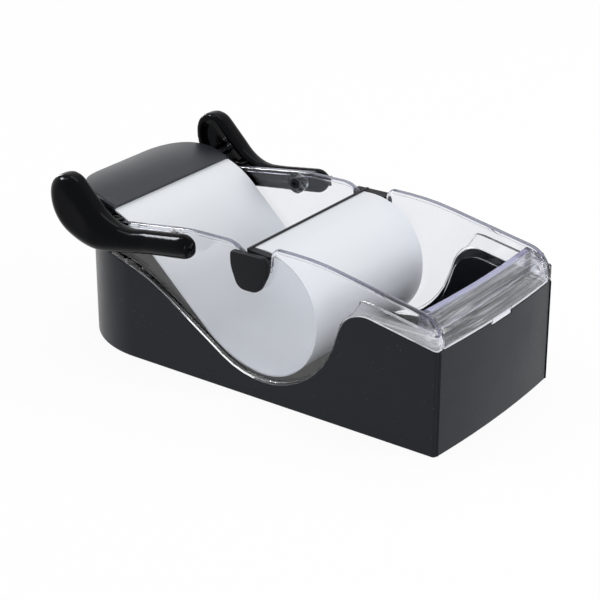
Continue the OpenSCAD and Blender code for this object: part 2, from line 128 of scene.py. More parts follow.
# %% [markdown]
# ## Modelling helpers
# Most parts here are flat outlines with a thickness. By hand one would set a
# single point, extrude it along the outline, fill it with a face and extrude
# that, so these helpers do the same with the same operators.

# %% Modelling helpers
def only(piece):
    """Leaves edit mode and selects this part alone."""
    if bpy.context.mode != "OBJECT":
        bpy.ops.object.mode_set(mode="OBJECT")
    bpy.ops.object.select_all(action="DESELECT")
    piece.select_set(True)
    bpy.context.view_layer.objects.active = piece


def single_point(name, place):
    """A new part of one point at the place, left selected in edit mode."""
    if bpy.context.mode != "OBJECT":
        bpy.ops.object.mode_set(mode="OBJECT")
    bpy.ops.object.select_all(action="DESELECT")
    bpy.ops.mesh.primitive_plane_add(size=0.01)
    piece = bpy.context.active_object
    piece.name = piece.data.name = name
    bpy.ops.object.mode_set(mode="EDIT")
    bpy.ops.mesh.select_mode(type="VERT")
    bpy.ops.mesh.select_all(action="SELECT")
    bpy.ops.mesh.merge(type="CENTER")
    bpy.ops.transform.translate(value=place)
    return piece


def drawn(name, places):
    """A face with the outline given by its places, left selected in edit mode."""
    piece = single_point(name, places[0])
    at = places[0]
    for place in places[1:]:
        bpy.ops.mesh.extrude_vertices_move(TRANSFORM_OT_translate={"value": place - at})
        at = place
    bpy.ops.mesh.select_all(action="SELECT")
    bpy.ops.mesh.edge_face_add()
    return piece


def pulled(move):
    """Extrudes what is selected."""
    bpy.ops.mesh.extrude_region_move(TRANSFORM_OT_translate={"value": move})


def from_side(name, outline, y0, y1):
    """An outline seen from the side (X, Z), as thick as from y0 to y1."""
    piece = drawn(name, [mm(x, y0, z) for x, z in outline])
    pulled(mm(0, y1 - y0, 0))
    tidied()
    return piece


def tidied(gap=0.00001):
    """Joins points closer than the gap and turns all faces outwards."""
    bpy.ops.mesh.select_all(action="SELECT")
    bpy.ops.mesh.remove_doubles(threshold=gap)
    bpy.ops.mesh.normals_make_consistent(inside=False)
    bpy.ops.mesh.select_all(action="DESELECT")


def pick(piece, kind, test):
    """Selects the vertices, edges or faces whose middle passes the test."""
    bpy.ops.object.mode_set(mode="OBJECT")
    mesh = piece.data
    for group in (mesh.vertices, mesh.edges, mesh.polygons):
        group.foreach_set("select", [False] * len(group))
    bpy.ops.object.mode_set(mode="EDIT")
    bpy.ops.mesh.select_mode(type=kind)
    bpy.ops.object.mode_set(mode="OBJECT")
    found = 0
    if kind == "FACE":
        for face in mesh.polygons:
            face.select = bool(test(face.center * 1000, face.normal))
            found += face.select
    elif kind == "EDGE":
        for edge in mesh.edges:
            ends = [mesh.vertices[i].co * 1000 for i in edge.vertices]
            edge.select = bool(test(ends[0], ends[1]))
            found += edge.select
    else:
        for vertex in mesh.vertices:
            vertex.select = bool(test(vertex.co * 1000))
            found += vertex.select
    bpy.ops.object.mode_set(mode="EDIT")
    return found


def finish_with(piece, kind, **settings):
    """Adds a modifier with these settings and applies it."""
    only(piece)
    modifier = piece.modifiers.new(kind.title(), kind)
    for key, value in settings.items():
        setattr(modifier, key, value)
    bpy.ops.object.modifier_apply(modifier=modifier.name)


def smooth(piece, angle=35):
    only(piece)
    bpy.ops.object.shade_smooth_by_angle(angle=math.radians(angle))


def bevelled(piece, width, segments, angle, clamp):
    """Rounds the edges sharper than the angle and shades the rest smooth."""
    finish_with(piece, "BEVEL", width=mm(width), segments=segments, limit_method="ANGLE",
                angle_limit=math.radians(angle), use_clamp_overlap=clamp)
    smooth(piece, angle)


def soften(piece, width, segments):
    """Rounds the sharp edges of a small part."""
    bevelled(piece, width, segments, 35, True)


def rounded_edges(piece, width, segments):
    """Rounds the sharp edges of a moulded part and keeps its flat faces looking flat."""
    bevelled(piece, width, segments, 40, False)
    finish_with(piece, "WEIGHTED_NORMAL", mode="FACE_AREA", weight=50, keep_sharp=True)


def coat(piece, material):
    piece.data.materials.clear()
    piece.data.materials.append(material)


def mirrored_copy(piece, name):
    """The matching piece on the far side, with its own mesh."""
    only(piece)
    bpy.ops.object.duplicate()
    twin = bpy.context.active_object
    twin.name = twin.data.name = name
    bpy.ops.object.mode_set(mode="EDIT")
    bpy.ops.mesh.select_all(action="SELECT")
    bpy.ops.transform.mirror(constraint_axis=(False, True, False), center_override=(0, 0, 0))
    bpy.ops.mesh.normals_make_consistent(inside=False)
    bpy.ops.object.mode_set(mode="OBJECT")
    return twin


def sliced(piece, direction, first, last, step):
    """Cuts a part into slices, which stay joined, so that no face is long and thin."""
    only(piece)
    bpy.ops.object.mode_set(mode="EDIT")
    at = first
    while at < last:
        bpy.ops.mesh.select_all(action="SELECT")
        bpy.ops.mesh.bisect(plane_co=mm(*(at * d for d in direction)), plane_no=direction)
        at += step
    bpy.ops.object.mode_set(mode="OBJECT")


def merged_copy(node, name, material):
    """A copy of a part of the frame, with its loose triangles merged into clean faces."""
    original = frame["nodes"][node]
    only(original)
    bpy.ops.object.duplicate()
    piece = bpy.context.active_object
    del piece["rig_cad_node"]
    piece.name = piece.data.name = name
    bpy.ops.object.mode_set(mode="EDIT")
    bpy.ops.mesh.select_mode(type="VERT")
    bpy.ops.mesh.select_all(action="SELECT")
    bpy.ops.mesh.remove_doubles(threshold=0.000002)
    bpy.ops.mesh.select_all(action="SELECT")
    bpy.ops.mesh.dissolve_limited(angle_limit=math.radians(0.5))
    bpy.ops.object.mode_set(mode="OBJECT")
    coat(piece, material)
    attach(piece, original["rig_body"])
    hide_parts(node)
    return piece


print("helpers ready")

# %% [markdown]
# ## Camera
# The picture was taken from a little over a metre away, at the near front
# corner and looking down by 24 degrees. A long lens keeps the edges almost
# parallel.

# %% Camera
camera_data = bpy.data.cameras.new("camera")
camera_data.lens = 115.26
camera_data.sensor_width = 36
camera = bpy.data.objects.new("camera", camera_data)
bpy.context.collection.objects.link(camera)
turn, tilt = math.radians(36.126), math.radians(24.263)
towards = Vector((math.sin(turn) * math.cos(tilt), -math.cos(turn) * math.cos(tilt),
                  math.sin(tilt)))
camera.location = mm(553.4, -756.4, 454.7)
camera.rotation_euler = (-towards).to_track_quat("-Z", "Y").to_euler()
bpy.context.scene.camera = camera
print("camera at", [round(c, 3) for c in camera.location])

# %% [markdown]
# ## Shader helpers
# A finish is written as a sum of masks and colours. A wire is the output of a
# node, and two wires can be added, multiplied or compared like numbers.

# %% Shader helpers
class Wire:
    """The output of a node."""

    def __init__(self, paint, socket):
        self.paint, self.socket = paint, socket

    def maths(self, how, a, b):
        return self.paint.node("ShaderNodeMath", {"operation": how}, {0: a, 1: b})

    def __add__(self, other):
        return self.maths("ADD", self, other)

    def __sub__(self, other):
        return self.maths("SUBTRACT", self, other)

    def __mul__(self, other):
        return self.maths("MULTIPLY", self, other)

    def __gt__(self, other):
        return self.maths("GREATER_THAN", self, other)

    def __lt__(self, other):
        return self.maths("LESS_THAN", self, other)


class Paint:
    """The nodes of a material, or of the world if one is given."""

    def __init__(self, name, world=None):
        self.holder = world or bpy.data.materials.new(name)
        self.holder.use_nodes = True
        self.tree = self.holder.node_tree
        self.tree.nodes.clear()

    def node(self, kind, settings=None, sockets=None, out=0):
        made = self.tree.nodes.new(kind)
        for key, value in (settings or {}).items():
            setattr(made, key, value)
        for key, value in (sockets or {}).items():
            if isinstance(value, Wire):
                self.tree.links.new(value.socket, made.inputs[key])
            else:
                made.inputs[key].default_value = value
        return Wire(self, made.outputs[out])

    def place(self):
        return self.node("ShaderNodeTexCoord", out="Object")

    def axes(self):
        """The X, Y and Z of a spot on the part, in metres."""
        split = self.tree.nodes.new("ShaderNodeSeparateXYZ")
        self.tree.links.new(self.place().socket, split.inputs[0])
        return [Wire(self, split.outputs[i]) for i in range(3)]

    def stretched(self, *scales):
        """The part's coordinates, each multiplied by its scale."""
        return self.node("ShaderNodeMapping", None, {"Vector": self.place(), "Scale": scales})

    def noise(self, scale, detail=2.0, roughness=0.5, place=None):
        return self.node("ShaderNodeTexNoise", None,
                         {"Vector": place or self.place(), "Scale": scale, "Detail": detail,
                          "Roughness": roughness})

    def between(self, low, high, value):
        """A mask that grows from 0 to 1 while the value goes from low to high."""
        return self.node("ShaderNodeMapRange", {"clamp": True}, {
            "Value": value, "From Min": low, "From Max": high, "To Min": 0.0, "To Max": 1.0})

    def largest(self, first, *others):
        for other in others:
            first = first.maths("MAXIMUM", first, other)
        return first

    def rays(self, *kinds):
        """A mask that is 1 for rays of these kinds."""
        return self.largest(*[self.node("ShaderNodeLightPath", out="Is " + kind + " Ray")
                              for kind in kinds])

    def blend(self, mask, a, b):
        return self.node("ShaderNodeMix", {"data_type": "RGBA"}, {0: mask, 6: a, 7: b}, out=2)

    def bump(self, height, strength, distance):
        return self.node("ShaderNodeBump", None,
                         {"Height": height, "Strength": strength, "Distance": distance})

    def plastic(self, tone, rough, **more):
        """The usual surface shader; more settings are given by name, as Coat_Weight=1."""
        sockets = {"Base Color": tone, "Roughness": rough}
        sockets.update({key.replace("_", " "): value for key, value in more.items()})
        return self.node("ShaderNodeBsdfPrincipled", None, sockets, out="BSDF")

    def mixed(self, mask, a, b):
        return self.node("ShaderNodeMixShader", None, {0: mask, 1: a, 2: b})

    def finish(self, shader, output="ShaderNodeOutputMaterial"):
        out = self.tree.nodes.new(output)
        self.tree.links.new(shader.socket, out.inputs["Surface"])
        return self.holder

    def finish_clear(self, shader):
        """Finishes a clear plastic, through which shadows and soft light pass straight on."""
        through = self.node("ShaderNodeBsdfTransparent", None,
                            {"Color": colour(0.94, 0.945, 0.965)})
        return self.finish(self.mixed(self.rays("Shadow", "Diffuse"), shader, through))


def colour(r, g, b):
    return (r, g, b, 1.0)


print("shader helpers ready")

# %% [markdown]
# ## Black plastics
# The tub is moulded in satin black: a very dark base with a soft, slightly
# uneven gloss and a few pale specks of dust that catch the light. The cover
# has a finer, greyer satin, and the arms are polished.

# %% Black plastics
def black_plastic(name, base, dust, rough, grain, shine):
    """Dust is the strength of the specks and rough the lowest and highest roughness."""
    paint = Paint(name)
    cloudy = paint.noise(14, 3.0)
    specks = paint.node("ShaderNodeTexVoronoi", {"feature": "F1"},
                        {"Vector": paint.place(), "Scale": 380.0}, out="Distance")
    patches = paint.noise(55, 2.0)
    speck_mask = (0.075 > specks) * (patches > 0.56) if dust else cloudy * 0.0
    body = paint.blend(cloudy, colour(*base), colour(*(c * 1.25 for c in base)))
    shade = paint.blend(speck_mask * dust, body, colour(0.32, 0.33, 0.35))
    fine = paint.noise(2600, 2.0)
    gloss = paint.between(0.3, 0.7, paint.noise(38, 4.0)) * (rough[1] - rough[0]) + rough[0]
    shader = paint.plastic(shade, gloss + speck_mask * 0.2, IOR=1.5, Specular_IOR_Level=shine,
                           Specular_Tint=colour(0.86, 0.90, 1.0),
                           Normal=paint.bump(fine, grain, 0.0001))
    return paint.finish(shader)


tub_black = black_plastic("tub_satin_black", (0.008, 0.009, 0.012),
                          dust=0.35, rough=(0.26, 0.38), grain=0.20, shine=0.18)
cover_black = black_plastic("cover_satin_black", (0.010, 0.011, 0.015),
                            dust=0.20, rough=(0.26, 0.34), grain=0.25, shine=0.34)
arm_black = black_plastic("arm_polished_black", (0.0010, 0.0010, 0.0012),
                          dust=0.0, rough=(0.08, 0.13), grain=0.02, shine=0.07)
bar_black = black_plastic("bar_matt_black", (0.005, 0.005, 0.006),
                          dust=0.0, rough=(0.42, 0.52), grain=0.22, shine=0.16)
print("black plastics ready")

# %% [markdown]
# ## White sheet
# The sheet is a thin satin plastic, nearly white with a cool cast. Handling
# leaves it a little uneven in gloss, which only shows in the reflections.

# %% White sheet
def sheet_plastic():
    paint = Paint("sheet_satin_white")
    cloudy = paint.noise(22, 3.0)
    tone = paint.blend(cloudy, colour(0.69, 0.715, 0.755), colour(0.72, 0.745, 0.78))
    gloss = paint.between(0.3, 0.7, paint.noise(60, 3.0)) * 0.10 + 0.30
    return paint.finish(paint.plastic(tone, gloss, IOR=1.45, Normal=paint.bump(
        paint.noise(900, 2.0), 0.04, 0.0001)))


sheet_white = sheet_plastic()
print("sheet finish ready")

# %% [markdown]
# ## Clear plastic
# The walls and the front bar are clear and glossy, so they are a view of what
# lies behind them, bent at every rounded edge, with reflections on top. Real
# glass in a renderer throws hard dark shadows, so shadow rays and rays that
# only carry soft light pass straight through. The beads along the edges gather
# light from the whole wall and look violet, so they get a second, deeper tint.

# %% Clear plastic
clear_ior = 1.49


def clear_plastic(name, tint, deeper, rough, milky_and_painted_light=None, painted_light_tone=None):
    """Clear plastic; the function after rough gives the mask where the last argument, a tone of
    painted light that stands for light running in the plastic, is painted over it.
    """
    paint = Paint(name)
    smears = paint.between(0.35, 0.75, paint.noise(45, 4.0))
    clear = paint.plastic(paint.blend(smears, colour(*tint), colour(*deeper)),
                          smears * 0.04 + rough, IOR=clear_ior, Transmission_Weight=1.0)
    # Where the mask is set, a tone of painted light is laid over the clear plastic.
    if milky_and_painted_light:
        clear = paint.mixed(milky_and_painted_light(paint), clear, paint.plastic(colour(*painted_light_tone), 0.15, IOR=clear_ior))
    return paint.finish_clear(clear)


def painted_foot_light(paint):
    """Pale streaks painted along the front foot of a wall: painted light that stands for light
    running in the plastic into the flange.
    """
    x, _, z = paint.axes()
    forward = paint.between(mm(66), mm(84), x)
    low = paint.between(mm(rim + 11), mm(rim + 7), z)
    lines = paint.noise(10, 2.0, 0.6, paint.stretched(1.0, 40.0, 55.0))
    return forward * low * (paint.between(0.35, 0.65, lines) * 0.6 + 0.1)


# The near wall's finish carries the painted light along its front foot.
clear_near = clear_plastic("clear_plastic", (0.99, 0.992, 1.0), (0.975, 0.98, 0.995), 0.01,
                           painted_foot_light, (0.75, 0.76, 0.80))
# The far wall gets a darker copy of the same clear plastic: its grey tint is painted shade.
clear_far_shaded = clear_plastic("clear_plastic_far_shaded", (0.87, 0.885, 0.915), (0.85, 0.865, 0.90), 0.01)
# The bead tops' deep violet tint and haze are painted light, standing for the light that the beads
# gather from the whole wall.
clear_edge = clear_plastic("clear_edge", (0.13, 0.135, 0.20), (0.09, 0.095, 0.15), 0.05,
                           lambda paint: paint.noise(160, 3.0) * 0.35, (0.17, 0.175, 0.26))
print("clear plastic ready")

# %% [markdown]
# ## The front bar's plastic
# The bar is hollow and was drawn off its core, which left fine streaks along
# it. The streaks are real, but their dark tone is a painted darkening that
# stands for the dark tub seen through them; they alternate with cloudy ones.
# The light that runs inside leaves at its rear web and its lower edge, and is
# painted there: a lavender tint and a pale milky glow. The two ends of the rear
# web are painted nearly black, as painted shade. Where a spot lies across the
# bowed bar is worked out from its own coordinates.

# %% Plastic of the front bar
bar_bow, bar_deep = 606.2, 14.0  # radius of the bow of its front, and its depth
web_low, web_thick, web_end_y, foot_high = rim + 13.6, 3.0, 46.5, rim + 0.9


def bar_plastic():
    paint = Paint("clear_bar")
    x, y, z = paint.axes()
    across = x + y * y * (1 / (2 * mm(bar_bow))) - mm(tub_front)
    sideways = y.maths("ABSOLUTE", y, 0.0)
    web = (across < mm(web_thick - bar_deep)) * (z > mm(web_low))
    web_end = (across < mm(web_thick + 0.4 - bar_deep)) * (sideways > mm(web_end_y))
    foot = z < mm(foot_high)
    along = paint.stretched(60.0, 1.1, 60.0)
    streaks = paint.between(0.38, 0.62, paint.noise(10, 3.0, 0.6, along))
    fine = paint.between(0.50, 0.72, paint.noise(14, 2.0, 0.6, along)) * 0.30 + 0.03
    # The dark tone of the streaks is a painted darkening for the dark tub seen through them.
    tone = paint.blend(streaks, colour(0.99, 0.99, 1.0), colour(0.45, 0.46, 0.52))
    # Painted light: the rear web's lavender tint stands for light leaving the plastic there.
    tone = paint.blend(web, tone, colour(0.50, 0.50, 0.74))
    # Painted light and shade: a pale glow at the web and the lower edge, nearly black at the web's
    # two ends.
    painted_glow_and_shade = paint.blend(web, colour(0.72, 0.73, 0.78), colour(0.33, 0.33, 0.53))
    painted_glow_and_shade = paint.blend(web_end, painted_glow_and_shade, colour(0.02, 0.022, 0.06))
    # The mask holds painted light at the lower edge and the web, painted shade at the web's ends,
    # and the cloudy streaks.
    milky_and_painted_light = paint.largest(foot * 0.75, web * 0.55, web_end * 0.8, fine)
    clear = paint.plastic(tone, streaks * 0.05 + 0.02, IOR=clear_ior, Transmission_Weight=1.0)
    # This shader carries the painted glow and shade as well as the cloudy streaks.
    cloudy = paint.plastic(painted_glow_and_shade, 0.12, IOR=clear_ior)
    return paint.finish_clear(paint.mixed(milky_and_painted_light, clear, cloudy))


clear_bar = bar_plastic()
print("front bar plastic ready")

# %% [markdown]
# ## Steel pegs
# The pegs between the cover and the arms are bright and slightly brushed.

# %% Steel
def steel():
    paint = Paint("peg_bright_steel")
    brushed = paint.noise(700, 2.0)
    tone = paint.blend(brushed, colour(0.62, 0.63, 0.65), colour(0.78, 0.79, 0.81))
    return paint.finish(paint.plastic(tone, brushed * 0.12 + 0.12, Metallic=1.0))


peg_steel = steel()
print("steel ready")

# %% [markdown]
# ## Carried-over parts
# The frame's solids have sharp edges, and no moulded edge is sharp: the narrow
# round along it catches the light. The moulded parts are therefore merged
# copies of the frame's parts with their edges rounded, and only small hidden
# parts stay as they are.

# %% Tub, bar and small parts
# The front bar's pegs take the far wall's darker copy of the clear plastic, with its painted shade.
for node, material in (("sheet_clamp", bar_black), ("pivot_pin_near", bar_black),
                       ("pivot_pin_far", bar_black), ("cover_pegs", peg_steel),
                       ("front_bar_pegs", clear_far_shaded)):
    coat(frame["nodes"][node], material)

slices = -47.3, 48, 4.3  # first, last and step of the cuts across the two bars
tub = merged_copy("base_tub", "tub", tub_black)
rounded_edges(tub, 0.7, 3)
blade = merged_copy("bar_blade", "blade", bar_black)
sliced(blade, (0, 1, 0), *slices)
rounded_edges(blade, 0.25, 2)
print("tub:", len(tub.data.polygons), "faces, blade:", len(blade.data.polygons), "faces")

# %% [markdown]
# ## Clear walls and front bar
# The walls' beads are rounded more than the rest, because the light that runs
# in the plastic comes out there. Their faces get the deeper tint.

# %% Clear walls and front bar
rail_line = rounded([(-85.0, 75.2, 0), (-30.6, 83.2, 120), (3.0, 83.8, 14), (7.0, 74.0, 1.5),
                     (21.7, 74.0, 1.5), (22.2, 85.6, 5), (49.7, 85.6, 150), (122.3, 72.2, 14),
                     (122.3, 57.0, 0)], closed=False)
bead_low, bead_half, bead_round = rim + 3.5, 1.45, 1.0
notch_rear, notch_front, notch_top = 3.4, 23.5, 80


def from_rail(place):
    """How far a place lies from the wall's top edge, seen from the side."""
    least = 1000.0
    for (xa, za), (xb, zb) in zip(rail_line, rail_line[1:]):
        along = Vector((xb - xa, zb - za))
        part = Vector((place.x - xa, place.z - za)) @ along / max(along.length_squared, 1e-9)
        part = max(0.0, min(1.0, part))
        nearest = (xa + along.x * part, za + along.y * part)
        least = min(least, math.dist((place.x, place.z), nearest))
    return least


def on_bead(place):
    """On one of the bead's two outer edges, but not in the notch, which stays sharper."""
    in_notch = notch_rear < place.x < notch_front and place.z < notch_top
    outer = abs(abs(place.y) - wall_mid) > bead_half
    return from_rail(place) < 0.04 and place.z > bead_low and outer and not in_notch


for side, plastic in (("near", clear_near), ("far", clear_far_shaded)):
    wall = merged_copy("side_wall_" + side, "wall_" + side, plastic)
    sliced(wall, (1, 0, 0), -83.3, 121, 4.1)
    sliced(wall, (0, 0, 1), 12.3, 80, 7.3)
    pick(wall, "EDGE", lambda a, b: on_bead(a) and on_bead(b)
         and abs(a.x - b.x) + abs(a.z - b.z) > 0.005)
    bpy.ops.mesh.bevel(offset=mm(bead_round), segments=4, affect="EDGES", clamp_overlap=False)
    rounded_edges(wall, 0.2, 2)
    # The rounding shoots past the notch at two points, which go back to its upper edge.
    pick(wall, "VERT", lambda p: 8.3 < p.x < 9.3 and 67 < p.z < 68)
    bpy.ops.transform.translate(value=mm(-2.25, 0, 4.52))
    bpy.ops.object.mode_set(mode="OBJECT")
    wall.data.materials.append(clear_edge)
    for face in wall.data.polygons:
        at = face.center * 1000
        on_top = at.z > bead_low and face.normal.z > 0.35 and from_rail(at) < bead_round + 0.1
        face.material_index = 1 if on_top else 0
    print("wall", side, len(wall.data.polygons), "faces")
bar_clear = merged_copy("front_bar", "bar_clear", clear_bar)
sliced(bar_clear, (0, 1, 0), *slices)
rounded_edges(bar_clear, 0.5, 3)

# %% [markdown]
# ## Lever arms
# Each arm is a polished bar that swells into an upturned grip, and everything
# on it is round. The side view is pulled to the grip's thickness, the stub is
# cut slimmer as the plan view shows, the inner face is dished, and a remesh with
# some smoothing melts the edges together as the mould does.

# %% Lever arms
grip_x, stub_x, stub_top, stub_low, stub_round = -113.3, -22.8, 83.0, 70.9, 5.95
arm_in, stub_out, grip_out = -(tub_half + 2.0), -64.0, -68.9
slim_rear, slim_length = pivot[0] - 46, 32  # where the arm gets slimmer, seen from above
face_rim, dome = 4.2, 3.2  # width of the outer face's rounded rim, and how far the face bulges
dish_rim, dish = 3.6, 2.0  # the same for the hollow of its inner face
voxel, melting, swell = 0.75, 40, 0.9  # melting takes a little off all round, swelling puts it back
same_place = 0.0006  # points closer than this lie at one place along the tub
arm_outline = rounded([
    (stub_x, stub_top, stub_round), (grip_x + 38.4, stub_top - 7.9, 27), (grip_x + 1, 113.0, 10),
    (grip_x - 1, 74.4, 22), (grip_x + 25.4, stub_low - 8.6, 40), (stub_x, stub_low, stub_round)],
    step=5)
near_arm = from_side("arm_near", arm_outline, grip_out + dome, arm_in)
for x in (slim_rear + slim_length, slim_rear):
    bpy.ops.mesh.select_all(action="SELECT")
    bpy.ops.mesh.bisect(plane_co=mm(x, 0, 0), plane_no=(1, 0, 0))
bpy.ops.object.mode_set(mode="OBJECT")
for x in sorted({round(v.co.x * 1000, 3) for v in near_arm.data.vertices}):
    slimmer = (stub_out - grip_out) * min(1, (x - slim_rear) / slim_length)
    if slimmer > 0 and pick(near_arm, "VERT", lambda p: abs(p.x - x) < same_place
                            and p.y < grip_out + dome + 0.1):
        bpy.ops.transform.translate(value=mm(0, slimmer, 0))
tidied()
pick(near_arm, "FACE", lambda c, n: n.y < -0.9)
bpy.ops.mesh.inset(thickness=mm(face_rim), depth=0, use_even_offset=False)
bpy.ops.transform.translate(value=mm(0, -dome, 0))
pick(near_arm, "FACE", lambda c, n: abs(c.y - arm_in) < 0.05 and n.y > 0.99)
bpy.ops.mesh.inset(thickness=mm(dish_rim), depth=0, use_even_offset=False)
pulled(mm(0, -dish, 0))
tidied()
finish_with(near_arm, "REMESH", mode="VOXEL", voxel_size=mm(voxel))
finish_with(near_arm, "SMOOTH", factor=0.5, iterations=melting)
finish_with(near_arm, "DISPLACE", strength=mm(swell), mid_level=0)
smooth(near_arm, 80)
coat(near_arm, arm_black)
far_arm = mirrored_copy(near_arm, "arm_far")
smooth(far_arm, 80)
for piece, node in ((near_arm, "lever_arm_near"), (far_arm, "lever_arm_far")):
    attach(piece, "lever")
    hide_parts(node)
print("arms:", len(near_arm.data.polygons), "faces each")

# %% [markdown]
# ## Arm lugs
# A small lug on the inside of each arm rests on the rear end of the clear
# wall and stops the lever there.

# %% Arm lugs
lug_out, lug_in, lug_rear, lug_front, lug_top = -58.6, -50.7, -82, -76, 78.3
near_lug = from_side("lug_near", [(lug_rear, 75.7), (lug_front, 76.58), (lug_front, lug_top),
                                  (lug_rear, lug_top)], lug_out, lug_in)
soften(near_lug, 0.5, 3)
coat(near_lug, arm_black)
far_lug = mirrored_copy(near_lug, "lug_far")
for piece in (near_lug, far_lug):
    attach(piece, "lever")
print("lugs ready")

# %% [markdown]
# ## Lever cover
# The cover is a thin arched shell with two large round corners at the back
# and a skirt. It starts as a flat block with a rounded upper edge, is cut into
# narrow bands across, and each band is moved up to the arch. The open underside
# and front are then taken away and the skin gets its thickness.

# %% Lever cover
cover_back, cover_half = cover_front - cover_length, 49.5
cover_slope, cover_rise, cover_thick = 17.5, 7.4, 2.0
edge_round, bands = 2.6, 30
block_low, block_top = 60, 80  # the flat block before it is moved up to the arch
slope = math.tan(math.radians(cover_slope))
ridge = (cover_front - cover_rise / slope, cover_front_z + cover_rise)
arch = rounded([(cover_front + 8, cover_front_z - 8 * slope, 0), (ridge[0], ridge[1], 60),
                (cover_back - 4, cover_front_z + 2, 0)], closed=False, step=2)


def height_on(line, x):
    """How high a line from the front to the back lies at a place along the tub."""
    for (xa, za), (xb, zb) in zip(line, line[1:]):
        if min(xa, xb) <= x <= max(xa, xb):
            return za + (zb - za) * (x - xa) / (xb - xa)
    return line[0][1] if x > line[0][0] else line[-1][1]


skirt = [(cover_front + 8, 79.4), (cover_front, 79.9), (cover_front - 6.4, 81.3),
         (cover_front - 8, 77.0), (cover_back + 7.7, 69.0), (cover_back - 1, 69.0)]
cover_plan = rounded([(cover_front + 5, -cover_half, 0), (cover_front + 5, cover_half, 0),
                      (cover_back, cover_half, 30), (cover_back, -cover_half, 30)], step=4)
cover = drawn("cover", [mm(x, y, block_low) for x, y in cover_plan])
pulled(mm(0, 0, block_top - block_low))
tidied()
pick(cover, "EDGE", lambda a, b: min(a.z, b.z) > block_top - 0.1)
bpy.ops.mesh.bevel(offset=mm(edge_round), segments=6, affect="EDGES")
stations = [cover_back + 0.15 + (cover_length + 4.5) * i / bands for i in range(bands + 1)]
for x in stations + [cover_front]:
    bpy.ops.mesh.select_all(action="SELECT")
    bpy.ops.mesh.bisect(plane_co=mm(x, 0, 0), plane_no=(1, 0, 0))
bpy.ops.object.mode_set(mode="OBJECT")
for x in sorted({round(v.co.x * 1000, 3) for v in cover.data.vertices}):
    top = height_on(arch, x)
    foot = min(height_on(skirt, x), top - edge_round - 0.3)
    if pick(cover, "VERT", lambda p: abs(p.x - x) < same_place
            and block_top - edge_round - 0.1 < p.z < block_top + 0.1):
        bpy.ops.transform.translate(value=mm(0, 0, top - block_top))
    if pick(cover, "VERT", lambda p: abs(p.x - x) < same_place and p.z < block_low + 1):
        bpy.ops.transform.translate(value=mm(0, 0, foot - block_low))
bpy.ops.mesh.select_all(action="SELECT")
bpy.ops.mesh.bisect(plane_co=mm(cover_front, 0, 0), plane_no=(1, 0, 0), clear_outer=True)
pick(cover, "FACE", lambda c, n: n.z < -0.3)
bpy.ops.mesh.delete(type="FACE")
tidied()
finish_with(cover, "SOLIDIFY", thickness=mm(cover_thick), offset=-1, use_even_offset=True)
smooth(cover, 40)
coat(cover, cover_black)
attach(cover, "lever")
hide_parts("lever_cover")
print("cover:", len(cover.data.polygons), "faces")

# %% [markdown]
# ## Lips of the cover
# At its front corners the cover has a thin lip on each side, which hides the
# clamped end of the sheet.

# %% Cover lips
lip_rear, lip_front, lip_thick = cover_front - 9, cover_front - 0.3, 0.75
near_lip = from_side("lip_near", [(lip_rear, 77.6), (lip_front, 77.6), (lip_front, 80.4),
                                  (lip_rear, 82.6)], -cover_half, lip_thick - cover_half)
soften(near_lip, 0.2, 2)
coat(near_lip, cover_black)
far_lip = mirrored_copy(near_lip, "lip_far")
for piece in (near_lip, far_lip):
    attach(piece, "lever")
print("lips ready")

# %% [markdown]
# ## End caps of the bar
# Two shields close the ends of the bar and hang down outside the clear walls,
# so that the bar can't slip sideways.

# %% End caps
cap_out, cap_in = -56.8, -53.41
cap_x, cap_top, cap_wide, cap_high = -1.5, 80.9, 24.2, 20.9
cap_outline = rounded([(cap_x, cap_top - 0.5, 2.5), (cap_x + cap_wide, cap_top, 4),
                       (cap_x + 0.99 * cap_wide, cap_top - 0.43 * cap_high, 14),
                       (cap_x + 0.745 * cap_wide, cap_top - cap_high, 8),
                       (cap_x + 0.195 * cap_wide, cap_top - cap_high, 6.5),
                       (cap_x, cap_top - 0.43 * cap_high, 20)], step=5)
near_cap = from_side("cap_near", cap_outline, cap_out, cap_in)
soften(near_cap, 1.1, 5)
coat(near_cap, bar_black)
far_cap = mirrored_copy(near_cap, "cap_far")
smooth(far_cap)
for piece, node in ((near_cap, "bar_cap_near"), (far_cap, "bar_cap_far")):
    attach(piece, "bar")
    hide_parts(node)
print("caps ready")

# %% [markdown]
# ## Sheet
# One strip of thin plastic, 97 mm wide. It is clamped under the cover, runs
# down the slope, round the loop and back up to the bar. An edge is pulled
# along the line that such a strip takes, and gets its thickness. It is made in
# two lengths that meet low in the loop: the rear one runs from the lever and the
# front one to the bar.

# %% Sheet
sheet_half, sheet_thick = 48.6, 0.8
hood = (8.8, 81.0)
loop_radius, loop_flat = 33.2, 2.4
bend_radius, bend_start, bend_end, meeting = 59.0, 227, 262, 290  # the angles in degrees
steep, straight, top_round = math.radians(43), 22, 46


def on_arc(centre, radius, angle):
    return (centre[0] + radius * math.cos(math.radians(angle)),
            centre[1] + radius * math.sin(math.radians(angle)))


